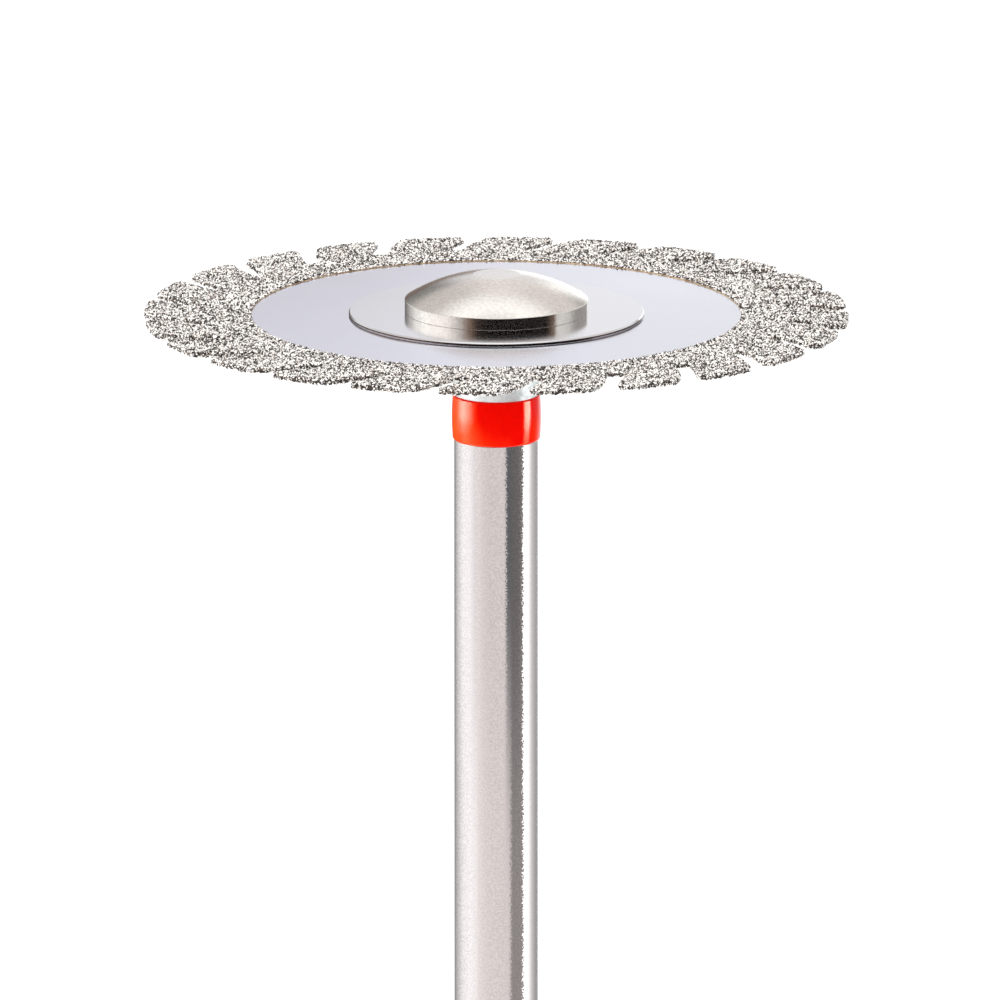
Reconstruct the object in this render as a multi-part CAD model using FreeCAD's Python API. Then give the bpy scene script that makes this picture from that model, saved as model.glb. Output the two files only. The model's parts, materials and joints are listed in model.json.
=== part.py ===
import FreeCAD, Part
import math
import os

# Slotted diamond cutting disc on a straight handpiece shank, in millimetres.
# The shank's axis is Z. Z is zero at the shank's free end and rises to the domed head.

# Overall length from the shank's free end to the top of the domed head.
overall_length = 44.5

# Shank with its backing flange, turned in one piece. Its neck flares on an arc up to the flange.
shank_diameter = 2.35
shank_end_chamfer = 0.25
neck_length = 1.64
neck_top_diameter = 4.0
flange_diameter = 5.1
flange_thickness = 0.45
flange_edge_bevel = 0.08

# Enamel colour ring below the plain neck. It fills a groove in the shank and rises past the
# shank's wall, most at the middle of its height.
ring_height = 1.28
ring_groove_depth = 0.2
ring_belly_rise = 0.07
ring_edge_rise = 0.04
ring_edge_bevel = 0.03

# Disc: a steel blank with a nickel-bonded diamond coating on its outer zone.
# The disc's diameter is measured over the coating.
disc_diameter = 19.6
blank_thickness = 0.06
coat_thickness = 0.045
coat_inner_diameter = 13.6

# Slots, measured between coated walls. They lean clockwise from the radius on their way out
# to the rim, seen from above, and bend further that way on an arc.
slot_count = 24
slot_width = 0.45
slot_inner_radius = 8.15
slot_lean = 22.8
slot_bend_radius = 5.3
slot_end_round = 0.1
slot_first_angle = 8.6

# Corners of the coated teeth. One side of a slot leaves a slender tip and the other a blunt heel.
tooth_tip_round = 0.23
tooth_heel_round = 0.4

# Bevel on the blank's tips, as a share of the round on the coated tips.
blank_tip_bevel_share = 1.75

# Pair of washers, one above the disc and one below it.
washer_diameter = 8.2
washer_thickness = 0.1
washer_edge_break = 0.02

# Domed head, faced flat at its apex, with a stem that is pressed into the shank.
head_diameter = 5.1
head_rim_height = 0.34
dome_height = 0.7
apex_flat_diameter = 1.3
head_edge_round = 0.03
head_foot_chamfer = 0.04
stem_diameter = 1.6
stem_depth = 1.8
stem_end_chamfer = 0.15

# Clearances round the stem in washers and disc, and below it in the blind bore.
stem_clearance = 0.02
stem_end_gap = 0.25

disc_radius = disc_diameter / 2
shank_radius = shank_diameter / 2
groove_radius = shank_radius - ring_groove_depth
neck_top_radius = neck_top_diameter / 2
flange_radius = flange_diameter / 2
washer_radius = washer_diameter / 2
head_radius = head_diameter / 2
stem_radius = stem_diameter / 2
hole_radius = stem_radius + stem_clearance

# Heights of the stack, from the top of the head downwards.
rim_top = overall_length - dome_height
head_foot = rim_top - head_rim_height
blank_top = head_foot - washer_thickness
blank_foot = blank_top - blank_thickness
flange_top = blank_foot - washer_thickness
flange_foot = flange_top - flange_thickness
ring_top = flange_foot - neck_length
ring_foot = ring_top - ring_height
stem_foot = flange_top - stem_depth

axis_point = FreeCAD.Vector(0, 0, 0)
upward = FreeCAD.Vector(0, 0, 1)


def same(first, second):
    """Whether two lengths agree to a millionth of a millimetre."""
    return abs(first - second) < 1e-6


def at(corner):
    """Point of a turned profile, from its (radius, height)."""
    radius, height = corner
    return FreeCAD.Vector(radius, 0, height)


def turned(start, *runs):
    """Solid of revolution about the shank's axis. A run is the (radius, height) where a
    straight line ends, or a pair of them for an arc: a point on its way and its end."""
    edges = []
    here = at(start)
    for run in runs + (start,):
        if isinstance(run[0], tuple):
            on_the_way, end = at(run[0]), at(run[1])
            edges.append(Part.Arc(here, on_the_way, end).toShape())
        else:
            end = at(run)
            edges.append(Part.LineSegment(here, end).toShape())
        here = end
    return Part.Face(Part.Wire(edges)).revolve(axis_point, upward, 360)


def circles(solid, radius, height):
    """Circular edges about the shank's axis with this radius and at this height."""
    found = []
    for edge in solid.Edges:
        box = edge.BoundBox
        if same(box.ZMin, height) and same(box.ZMax, height) and same(box.XMax, radius):
            found.append(edge)
    return found


def shank():
    """Ground shank with its backing flange, the groove that the colour ring is cast in and the
    blind bore for the head's stem. The neck's arc leaves the shank's wall smoothly."""
    bore_foot = stem_foot - stem_end_gap
    neck_flare = neck_top_radius - shank_radius
    flare_radius = (neck_length ** 2 + neck_flare ** 2) / (2 * neck_flare)
    half_turn = math.asin(neck_length / flare_radius) / 2
    mid_flare = (
        shank_radius + flare_radius * (1 - math.cos(half_turn)),
        ring_top + flare_radius * math.sin(half_turn),
    )
    solid = turned(
        (0, 0),
        (shank_radius, 0),
        (shank_radius, ring_foot),
        (groove_radius, ring_foot),
        (groove_radius, ring_top),
        (shank_radius, ring_top),
        (mid_flare, (neck_top_radius, flange_foot)),
        (flange_radius, flange_foot),
        (flange_radius, flange_top),
        (stem_radius, flange_top),
        (stem_radius, bore_foot),
        (0, bore_foot),
    )
    solid = solid.makeChamfer(shank_end_chamfer, circles(solid, shank_radius, 0))
    return solid.makeChamfer(flange_edge_bevel, circles(solid, flange_radius, flange_foot))


def colour_ring():
    """Enamel band that fills its groove and bellies out a little past the shank."""
    edge_radius = shank_radius + ring_edge_rise
    belly_radius = shank_radius + ring_belly_rise
    belly_height = (ring_foot + ring_top) / 2
    band = turned(
        (groove_radius, ring_foot),
        (edge_radius, ring_foot),
        ((belly_radius, belly_height), (edge_radius, ring_top)),
        (groove_radius, ring_top),
    )
    edges = circles(band, edge_radius, ring_foot) + circles(band, edge_radius, ring_top)
    return band.makeChamfer(ring_edge_bevel, edges)


def slot_angle(number):
    """Angle about the shank's axis at which one slot has the middle of its inner end."""
    return slot_first_angle + number * 360 / slot_count


def slot_centre(number):
    """Centre of the arcs that form the walls of one slot."""
    lean = math.radians(slot_lean)
    away = slot_inner_radius - slot_bend_radius * math.sin(lean)
    aside = -slot_bend_radius * math.cos(lean)
    turn = FreeCAD.Rotation(upward, slot_angle(number))
    return turn.multVec(FreeCAD.Vector(away, aside, 0))


def slot_walls(inset):
    """Radii of a slot's two wall arcs. The inset leaves room for the coating on the walls."""
    half_width = slot_width / 2 + inset
    return slot_bend_radius - half_width, slot_bend_radius + half_width


def slot_cutter(number, inset, foot, height):
    """Quarter of a flat ring that cuts one slot and ends well outside the rim."""
    centre = slot_centre(number) + upward * foot
    near, far = slot_walls(inset)
    coated_end = math.radians(slot_angle(number) + 90 - slot_lean)
    start = coated_end + inset / slot_bend_radius
    end = start - math.pi / 2
    middle = (start + end) / 2

    def on_wall(radius, angle):
        return centre + FreeCAD.Vector(radius * math.cos(angle), radius * math.sin(angle), 0)

    outline = Part.Wire([
        Part.LineSegment(on_wall(near, start), on_wall(far, start)).toShape(),
        Part.Arc(on_wall(far, start), on_wall(far, middle), on_wall(far, end)).toShape(),
        Part.LineSegment(on_wall(far, end), on_wall(near, end)).toShape(),
        Part.Arc(on_wall(near, end), on_wall(near, middle), on_wall(near, start)).toShape(),
    ])
    return Part.Face(outline).extrude(upward * height)


def slotted_disc(inset, foot, height):
    """Toothed disc with square corners. Its outline lies inside the coated one by the inset."""
    disc = Part.makeCylinder(disc_radius - inset, height, upward * foot)
    return disc.cut([slot_cutter(number, inset, foot, height) for number in range(slot_count)])


def level_distance(first, second):
    """Distance between two points, seen from above."""
    return math.hypot(first.x - second.x, first.y - second.y)


def slot_edges(solid, inset, walls, at_mouth):
    """Upright edges along slot walls of these radii, at the rim or else at the inner end."""
    centres = [slot_centre(number) for number in range(slot_count)]
    found = []
    for edge in solid.Edges:
        foot, top = edge.firstVertex().Point, edge.lastVertex().Point
        upright = same(level_distance(foot, top), 0) and not same(foot.z, top.z)
        on_rim = same(level_distance(foot, axis_point), disc_radius - inset)
        if upright and on_rim == at_mouth:
            reaches = [level_distance(foot, centre) for centre in centres]
            if any(same(reach, wall) for reach in reaches for wall in walls):
                found.append(edge)
    return found


def disc_blank():
    """Steel blank with its slots and the hole for the stem. The slender tips of its teeth are
    bevelled, so that the coating goes right round them."""
    solid = slotted_disc(coat_thickness, blank_foot, blank_thickness)
    tip_wall = slot_walls(coat_thickness)[1]
    tips = slot_edges(solid, coat_thickness, (tip_wall,), True)
    solid = solid.makeChamfer(tooth_tip_round * blank_tip_bevel_share, tips)
    return solid.cut(Part.makeCylinder(hole_radius, blank_thickness, upward * blank_foot))


def diamond_coating(blank):
    """Coating wrapped over the rim, the slot walls and the outer zone of both faces."""
    foot = blank_foot - coat_thickness
    height = blank_thickness + 2 * coat_thickness
    heel_wall, tip_wall = slot_walls(0)
    solid = slotted_disc(0, foot, height)
    for size, walls, at_mouth in (
        (slot_end_round, (heel_wall, tip_wall), False),
        (tooth_tip_round, (tip_wall,), True),
        (tooth_heel_round, (heel_wall,), True),
    ):
        solid = solid.makeFillet(size, slot_edges(solid, 0, walls, at_mouth))
    bare_centre = Part.makeCylinder(coat_inner_diameter / 2, height, upward * foot)
    return solid.cut([bare_centre, blank])


def washer(foot):
    """Thin flat washer with its outer edges broken."""
    top = foot + washer_thickness
    ring = turned(
        (hole_radius, foot),
        (washer_radius, foot),
        (washer_radius, top),
        (hole_radius, top),
    )
    edges = circles(ring, washer_radius, foot) + circles(ring, washer_radius, top)
    return ring.makeChamfer(washer_edge_break, edges)


def lens_head():
    """Domed head and its stem. The dome is part of a sphere that meets the rim's top and the
    edge of the apex flat."""
    flat_radius = apex_flat_diameter / 2
    half_way = (head_radius + flat_radius) / 2
    centre_rise = (flat_radius ** 2 + dome_height ** 2 - head_radius ** 2) / (2 * dome_height)
    sphere_radius = math.hypot(head_radius, centre_rise)
    half_way_rise = centre_rise + math.sqrt(sphere_radius ** 2 - half_way ** 2)
    head = turned(
        (0, stem_foot),
        (stem_radius, stem_foot),
        (stem_radius, head_foot),
        (head_radius, head_foot),
        (head_radius, rim_top),
        ((half_way, rim_top + half_way_rise), (flat_radius, overall_length)),
        (0, overall_length),
    )
    head = head.makeFillet(head_edge_round, circles(head, head_radius, rim_top))
    head = head.makeChamfer(head_foot_chamfer, circles(head, head_radius, head_foot))
    return head.makeChamfer(stem_end_chamfer, circles(head, stem_radius, stem_foot))


def main():
    os.makedirs("parts", exist_ok=True)
    blank = disc_blank()
    pieces = {
        "shank": shank(),
        "colour_ring": colour_ring(),
        "lower_washer": washer(flange_top),
        "disc_blank": blank,
        "diamond_coating": diamond_coating(blank),
        "upper_washer": washer(blank_top),
        "lens_head": lens_head(),
    }
    for name, piece in pieces.items():
        piece.exportStep("parts/" + name + ".step")
        print(name, "solids", len(piece.Solids), "volume", round(piece.Volume, 4))


main()
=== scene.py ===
# %% [markdown]
# # A slotted diamond cutting disc
# The object is a small rotary tool: a thin steel disc with a diamond-coated, slotted rim, held
# between two washers under a domed head, on a ground steel shank with a red colour ring.
# The measured solids come first, as a fixed frame. Every visible piece below is then built on
# them, in metres and in the same place, so nothing has to be fitted by eye.

import bpy
import json
import math
import numpy as np
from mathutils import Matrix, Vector
from mathutils.geometry import tessellate_polygon


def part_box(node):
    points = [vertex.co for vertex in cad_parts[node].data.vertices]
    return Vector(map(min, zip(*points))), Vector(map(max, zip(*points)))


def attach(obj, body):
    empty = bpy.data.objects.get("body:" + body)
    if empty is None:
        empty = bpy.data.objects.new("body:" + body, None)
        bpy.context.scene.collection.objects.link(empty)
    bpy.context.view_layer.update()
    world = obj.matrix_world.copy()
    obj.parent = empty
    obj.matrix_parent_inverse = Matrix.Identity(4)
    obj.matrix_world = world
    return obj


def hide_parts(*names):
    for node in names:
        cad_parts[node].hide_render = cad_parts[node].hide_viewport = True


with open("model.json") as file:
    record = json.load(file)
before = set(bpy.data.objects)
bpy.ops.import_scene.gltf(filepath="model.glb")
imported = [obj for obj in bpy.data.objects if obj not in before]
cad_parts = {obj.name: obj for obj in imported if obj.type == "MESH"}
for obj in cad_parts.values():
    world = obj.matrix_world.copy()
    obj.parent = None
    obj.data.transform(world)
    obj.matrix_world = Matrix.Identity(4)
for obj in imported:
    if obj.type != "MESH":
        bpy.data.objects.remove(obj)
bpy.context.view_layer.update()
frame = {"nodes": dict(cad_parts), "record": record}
MM = 0.001
print("solids:", ", ".join(sorted(frame["nodes"])))


def span(node):
    """(outer radius, lowest height, highest height) of a round solid, in millimetres."""
    low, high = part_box(node)
    return high.x / MM, low.z / MM, high.z / MM


# %% [markdown]
# ## Helpers for every material
# Colours are written as sRGB hex values, as a colour picker shows them, but a shader works with
# linear light. One function turns the first into the second. Another adds a node to a
# material, sets its inputs and makes its links, so that each material below reads like a list
# of what the surface has. The last two add a noise and a bump by their size in millimetres.

# %% Colour and node helpers
def linear(hex_value):
    """Linear red, green, blue and alpha of an sRGB hex value such as 0xC0C0C0."""
    channels = [(hex_value >> shift & 255) / 255 for shift in (16, 8, 0)]
    bent = [c / 12.92 if c <= 0.04045 else ((c + 0.055) / 1.055) ** 2.4 for c in channels]
    return (*bent, 1.0)


def add_node(tree, kind, inputs=None, stops=None, **settings):
    """Adds a node. An input is a plain value, or an output socket that is linked to it."""
    node = tree.nodes.new(kind)
    for name, value in settings.items():
        setattr(node, name, value)
    if stops:
        elements = node.color_ramp.elements
        elements[0].position = stops[0][0]
        elements[-1].position = stops[-1][0]
        for place, _ in stops[1:-1]:
            elements.new(place)
        for element, (_, colour) in zip(elements, stops):
            element.color = colour
    for name, value in (inputs or {}).items():
        if isinstance(value, bpy.types.NodeSocket):
            tree.links.new(value, node.inputs[name])
        else:
            node.inputs[name].default_value = value
    return node


def new_material(name):
    """An empty material and its node tree."""
    material = bpy.data.materials.new(name)
    material.use_nodes = True
    material.node_tree.nodes.clear()
    print("material:", name)
    return material, material.node_tree


def finish_material(tree, shader):
    """Links a shader to the material's output."""
    add_node(tree, "ShaderNodeOutputMaterial", {"Surface": shader.outputs[0]})


def add_noise(tree, place, width, detail, roughness=0.5):
    """A noise whose light and dark spots are about this wide, in millimetres."""
    return add_node(tree, "ShaderNodeTexNoise", {
        "Vector": place,
        "Scale": 1 / (width * MM * 2),
        "Detail": detail,
        "Roughness": roughness,
    }).outputs[0]


def add_bump(tree, height, depth, **normal_below):
    """A bump this deep, in millimetres, on top of another normal if one is given."""
    return add_node(tree, "ShaderNodeBump", {
        "Height": height,
        "Strength": 1.0,
        "Distance": depth * MM,
        **normal_below,
    }).outputs[0]


# %% [markdown]
# ## Round pieces
# The shank and the head are turned on a lathe, and the ring and the washers are just as round,
# so each is one profile spun about the shank's axis. A cylinder with bevels would do for one
# of them, but a profile gives all their shoulders, grooves and rounds in one list. Real turned
# edges are never sharp: a round of two or three hundredths of a millimetre is enough to catch a
# line of light, and that line is what makes an edge look like metal. Smooth shading would let
# each round bend the reflections of the whole flat next to it, so an extra point holds the
# flat close to the round.

# %% Profile helpers
ROUND_STEPS = 4
# Distance from a round to the point that holds the flat beside it, as a share of the round.
HOLD = 0.25


def rounded_profile(corners):
    """Points of a profile. A corner is (radius, height) or (radius, height, round)."""
    points = []
    for number, corner in enumerate(corners):
        here = np.array(corner[:2], float)
        size = corner[2] if len(corner) > 2 else 0.0
        if not size:
            points.append(here)
            continue
        before = np.array(corners[number - 1][:2], float) - here
        after = np.array(corners[number + 1][:2], float) - here
        before, after = before / np.linalg.norm(before), after / np.linalg.norm(after)
        half = math.acos(np.clip(before @ after, -1, 1)) / 2
        centre = here + (before + after) / np.linalg.norm(before + after) * size / math.sin(half)
        start = here + before * size / math.tan(half) - centre
        end = here + after * size / math.tan(half) - centre
        points.append(centre + start + before * size * HOLD)
        for step in range(ROUND_STEPS + 1):
            way = start + (end - start) * step / ROUND_STEPS
            points.append(centre + way / np.linalg.norm(way) * size)
        points.append(centre + end + after * size * HOLD)
    return points


def profile_arc(start, through, end, steps):
    """Points of a circular arc in the profile's plane, without its start."""
    (ax, ay), (bx, by), (cx, cy) = start, through, end
    turn = 2 * (ax * (by - cy) + bx * (cy - ay) + cx * (ay - by))
    squares = [x * x + y * y for x, y in (start, through, end)]
    px = (squares[0] * (by - cy) + squares[1] * (cy - ay) + squares[2] * (ay - by)) / turn
    py = (squares[0] * (cx - bx) + squares[1] * (ax - cx) + squares[2] * (bx - ax)) / turn
    first, last = math.atan2(ay - py, ax - px), math.atan2(cy - py, cx - px)
    sweep = (last - first + math.pi) % (2 * math.pi) - math.pi
    radius = math.hypot(ax - px, ay - py)
    angles = [first + sweep * step / steps for step in range(1, steps + 1)]
    return [(px + radius * math.cos(a), py + radius * math.sin(a)) for a in angles]


# %% Lathe helpers
LATHE_STEPS = 256
# A smaller radius than this, in millimetres, lies on the axis.
ON_AXIS = 1e-9


def make_object(name, vertices, faces, material, smooth_below=30):
    """A mesh object from points in millimetres. Edges flatter than the limit shade smooth."""
    mesh = bpy.data.meshes.new(name)
    mesh.from_pydata((np.asarray(vertices) * MM).tolist(), [], faces)
    mesh.validate()
    mesh.update()
    if smooth_below:
        mesh.shade_smooth()
        mesh.set_sharp_from_angle(angle=math.radians(smooth_below))
    mesh.materials.append(material)
    piece = bpy.data.objects.new(name, mesh)
    bpy.context.scene.collection.objects.link(piece)
    triangles = sum(len(face) - 2 for face in faces)
    print(f"{name}: {len(vertices)} points, {triangles} triangles")
    return piece


def lathe(name, corners, material, closed=False):
    """Spins a profile about the axis. An open profile starts and ends on the axis."""
    profile = rounded_profile(corners)
    vertices, rings = [], []
    for radius, height in profile:
        count = LATHE_STEPS if radius > ON_AXIS else 1
        rings.append(range(len(vertices), len(vertices) + count))
        for step in range(count):
            angle = 2 * math.pi * step / LATHE_STEPS
            vertices.append((radius * math.cos(angle), radius * math.sin(angle), height))
    faces = []
    pairs = list(zip(rings, rings[1:] + rings[:1]))
    for low, high in pairs if closed else pairs[:-1]:
        for step in range(LATHE_STEPS):
            following = (step + 1) % LATHE_STEPS
            a, b = low[step % len(low)], low[following % len(low)]
            c, d = high[following % len(high)], high[step % len(high)]
            face = [a, b, c, d]
            faces.append([v for n, v in enumerate(face) if v not in face[:n]])
    return make_object(name, vertices, faces, material)


def dress(piece, slot, *nodes):
    """The piece rides on the part's one body and stands for its solids."""
    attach(piece, "root")
    if nodes:
        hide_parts(*nodes)
    return piece


# %% [markdown]
# ## Ground stainless steel, for the shank
# The shank is centreless ground: it spins between two wheels, which leave very fine marks
# round it. Each mark turns its bit of the surface a little to the left or right, so the borders
# between bright and dark reflections are crisp but jagged. A bump map would tilt the marks up
# and down just as much and smear the reflections along the shank. So the normal is turned
# sideways by a noise instead, and a weak bump adds the rings. Small pits are rougher than the
# rest, and the tone varies a little. The marks are about 0.02 mm wide, as in the photograph.
# A metal keeps the default IOR, and its colour is the reflection's tint.

# %% Normal of a ground surface
def sideways_turn(tree, place, grain, angle):
    """Normal turned about the Z axis by a noise of this grain, up to about this angle."""
    surface = add_node(tree, "ShaderNodeNewGeometry")
    across = add_node(tree, "ShaderNodeVectorMath", {
        0: (0.0, 0.0, 1.0),
        1: surface.outputs["Normal"],
    }, operation="CROSS_PRODUCT")
    turn = add_node(tree, "ShaderNodeMapRange", {
        "Value": add_noise(tree, place, grain, 0.0),
        "From Min": 0.25,
        "From Max": 0.75,
        "To Min": -angle,
        "To Max": angle,
    })
    shift = add_node(tree, "ShaderNodeVectorMath", {
        0: across.outputs[0],
        "Scale": turn.outputs[0],
    }, operation="SCALE")
    turned = add_node(tree, "ShaderNodeVectorMath", {
        0: surface.outputs["Normal"],
        1: shift.outputs[0],
    }, operation="ADD")
    return add_node(tree, "ShaderNodeVectorMath", {
        0: turned.outputs[0],
    }, operation="NORMALIZE").outputs[0]


# %% Material of the shank
PIT_ROUGHNESS = 1.6


def ground_steel(name, tints, roughness, grain, angle, ring_pitch, ring_depth):
    """Steel ground about the Z axis. Grain, ring pitch and ring depth are in millimetres."""
    material, tree = new_material(name)
    place = add_node(tree, "ShaderNodeTexCoord").outputs["Object"]
    squeezed = add_node(tree, "ShaderNodeMapping", {
        "Vector": place,
        "Scale": (0.3, 0.3, 1.0),
    })
    rings = add_noise(tree, squeezed.outputs[0], ring_pitch, 3.0, 0.6)
    turned = sideways_turn(tree, place, grain, angle)
    speckle = add_noise(tree, place, grain, 1.0)
    tone = add_node(tree, "ShaderNodeValToRGB", {"Fac": speckle}, stops=[
        (0.35, linear(tints[0])),
        (0.65, linear(tints[1])),
    ])
    rough = add_node(tree, "ShaderNodeMapRange", {
        "Value": add_noise(tree, squeezed.outputs[0], grain, 1.0),
        "From Min": 0.45,
        "From Max": 0.7,
        "To Min": roughness,
        "To Max": roughness * PIT_ROUGHNESS,
    })
    shader = add_node(tree, "ShaderNodeBsdfPrincipled", {
        "Base Color": tone.outputs[0],
        "Metallic": 1.0,
        "Roughness": rough.outputs[0],
        "Normal": add_bump(tree, rings, ring_depth, Normal=turned),
    })
    finish_material(tree, shader)
    return material


shank_steel = ground_steel(
    "centreless_ground_stainless_steel",
    tints=(0xCAC5C4, 0xDCD8D7),
    roughness=0.06,
    grain=0.022,
    angle=0.042,
    ring_pitch=0.05,
    ring_depth=0.0002,
)
# The satin finish is real, but this tint is brighter and bluer than the shank's steel: painted
# light from the floor the neck reflects.
painted_bright_neck = ground_steel(
    "satin_turned_stainless_steel",
    tints=(0xE6ECEC, 0xF2F8F8),
    roughness=0.42,
    grain=0.05,
    angle=0.05,
    ring_pitch=0.06,
    ring_depth=0.0008,
)

# %% [markdown]
# ## The shank
# It is turned and ground in one piece: a bevelled free end, the plain wall that the handpiece
# grips, a shallow groove for the ring, a neck that flares out and a flange that backs the disc.
# Only the plain wall is ground. The neck and the flange keep a satin turned finish, so the
# faces above the ring get a second material, whose brighter, bluer tint is painted light: it
# stands for the bright floor that the flared neck reflects. The bore for the head's stem is
# hidden, but it stays in the profile, because the piece is kept as a mesh and should be whole.

# %% Sizes of the shank
END_CHAMFER = 0.25
END_ROUND = 0.03
RING_GROOVE = 0.2
RING_SEAT_ROUND = 0.015
NECK_TOP_RADIUS = 2.0
NECK_STEPS = 12
FLANGE_THICKNESS = 0.45
FLANGE_BEVEL = 0.08
FLANGE_ROUND = 0.02
STEM_RADIUS = 0.8
STEM_GAP = 0.25
BORE_ROUND = 0.01
# Faces this close below a height still count as being at it.
HEIGHT_SLACK = 0.01

flange_radius, _, flange_top = span("shank")
ring_radius, ring_foot, ring_top = span("colour_ring")
head_radius, stem_foot, apex = span("lens_head")
shank_radius = frame["record"]["mounts"][0]["dims"]["r_mm"]
flange_foot = flange_top - FLANGE_THICKNESS
groove_radius = shank_radius - RING_GROOVE
print(f"shank: radius {shank_radius} mm, ring from {ring_foot:.2f} to {ring_top:.2f} mm")

# %% Shank
flare = NECK_TOP_RADIUS - shank_radius
neck = flange_foot - ring_top
flare_radius = (neck ** 2 + flare ** 2) / (2 * flare)
half_turn = math.asin(neck / flare_radius) / 2
flare_middle = (
    shank_radius + flare_radius * (1 - math.cos(half_turn)),
    ring_top + flare_radius * math.sin(half_turn),
)
neck_points = profile_arc(
    (shank_radius, ring_top), flare_middle, (NECK_TOP_RADIUS, flange_foot), NECK_STEPS
)

shank = lathe("ground_shank", [
    (0, 0),
    (shank_radius - END_CHAMFER, 0, END_ROUND),
    (shank_radius, END_CHAMFER, END_ROUND),
    (shank_radius, ring_foot, RING_SEAT_ROUND),
    (groove_radius, ring_foot),
    (groove_radius, ring_top),
    (shank_radius, ring_top),
    *neck_points[:-1],
    (NECK_TOP_RADIUS, flange_foot),
    (flange_radius - FLANGE_BEVEL, flange_foot, FLANGE_ROUND),
    (flange_radius, flange_foot + FLANGE_BEVEL, FLANGE_ROUND),
    (flange_radius, flange_top, FLANGE_ROUND),
    (STEM_RADIUS, flange_top, BORE_ROUND),
    (STEM_RADIUS, stem_foot - STEM_GAP),
    (0, stem_foot - STEM_GAP),
], shank_steel)
shank.data.materials.append(painted_bright_neck)
for face in shank.data.polygons:
    if face.center.z / MM > ring_top - HEIGHT_SLACK:
        face.material_index = 1
dress(shank, "shank_steel", "shank")

# %% [markdown]
# ## Red enamel, for the colour ring
# The ring is a band of enamel that was run into its groove and cured, so surface tension
# bellied it and gave it a glassy skin. A painted stripe would be flat. Here the red is the
# body colour, and so much pigment lies right under the skin that most of the gloss is tinted
# orange. A thin clear coat adds the white of the highlights, and a very low, wide bump bends
# them a little, as a cured drop does.

# %% Enamel
SWELL_WIDTH = 0.4
SWELL_DEPTH = 0.006
PIGMENT_GRAIN = 0.075

enamel, tree = new_material("cured_red_enamel")
place = add_node(tree, "ShaderNodeTexCoord").outputs["Object"]
bump = add_bump(tree, add_noise(tree, place, SWELL_WIDTH, 1.0), SWELL_DEPTH)
pigment = add_noise(tree, place, PIGMENT_GRAIN, 3.0)
red = add_node(tree, "ShaderNodeValToRGB", {"Fac": pigment}, stops=[
    (0.3, linear(0xF80000)),
    (0.7, linear(0xFF0300)),
])
shader = add_node(tree, "ShaderNodeBsdfPrincipled", {
    "Base Color": red.outputs[0],
    "Roughness": 0.14,
    "IOR": 1.5,
    "Specular IOR Level": 0.45,
    "Specular Tint": linear(0xFF8C50),
    "Coat Weight": 0.08,
    "Coat Roughness": 0.08,
    "Coat IOR": 1.6,
    "Normal": bump,
    "Coat Normal": bump,
})
finish_material(tree, shader)

# %% Ring
RING_EDGE_RISE = 0.04
RING_EDGE_ROUND = 0.06
BELLY_STEPS = 16

ring_edge = shank_radius + RING_EDGE_RISE
ring_middle = (ring_foot + ring_top) / 2
belly = profile_arc(
    (ring_edge, ring_foot), (ring_radius, ring_middle), (ring_edge, ring_top), BELLY_STEPS
)
ring = lathe("enamel_ring", [
    (groove_radius, ring_foot),
    (ring_edge, ring_foot, RING_EDGE_ROUND),
    *belly[:-1],
    (ring_edge, ring_top, RING_EDGE_ROUND),
    (groove_radius, ring_top),
], enamel, closed=True)
dress(ring, "ring_enamel", "colour_ring")

# %% [markdown]
# ## Washers of rolled spring steel
# Two washers hold the disc, one on each face. They are stamped from rolled strip, which is
# nearly a mirror with a faint grain one way. The stamp breaks their upper edge into a fine
# bright line. The sheared wall below it is torn, and its dark brown tint is painted shade on
# that upright wall, so the wall's faces get a second material. The edge is broken by a real
# slope in the profile, so that it catches its line of light.

# %% Rolled steel
WAVE_WIDTH = 2.0


def rolled_steel(name, tint, roughness, grain, grain_depth, wave_depth):
    """Steel strip with a grain along X. Grain and depths are in millimetres."""
    material, tree = new_material(name)
    place = add_node(tree, "ShaderNodeTexCoord").outputs["Object"]
    drawn = add_node(tree, "ShaderNodeMapping", {
        "Vector": place,
        "Scale": (0.04, 1.0, 1.0),
    })
    lines = add_noise(tree, drawn.outputs[0], grain, 4.0, 0.65)
    waves = add_bump(tree, add_noise(tree, place, WAVE_WIDTH, 1.0), wave_depth)
    rough = add_node(tree, "ShaderNodeMapRange", {
        "Value": lines,
        "To Min": roughness * 0.8,
        "To Max": roughness * 1.2,
    })
    shader = add_node(tree, "ShaderNodeBsdfPrincipled", {
        "Base Color": linear(tint),
        "Metallic": 1.0,
        "Roughness": rough.outputs[0],
        "Normal": add_bump(tree, lines, grain_depth, Normal=waves),
    })
    finish_material(tree, shader)
    return material


washer_steel = rolled_steel(
    "rolled_spring_steel_strip",
    tint=0xDEDEE0,
    roughness=0.15,
    grain=0.05,
    grain_depth=0.0004,
    wave_depth=0.002,
)
# The sheared wall's rough grain is real; its dark brown tint is painted shade.
painted_shade_wall = rolled_steel(
    "sheared_steel_edge",
    tint=0x5C483B,
    roughness=0.24,
    grain=0.02,
    grain_depth=0.001,
    wave_depth=0.002,
)

# %% Washers
STEM_CLEARANCE = 0.02
FOOT_BREAK = 0.02
TOP_BREAK_DROP = 0.04
TOP_BREAK_WIDTH = 0.03
# A face whose normal rises less than this stands upright.
UPRIGHT = 0.1

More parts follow.
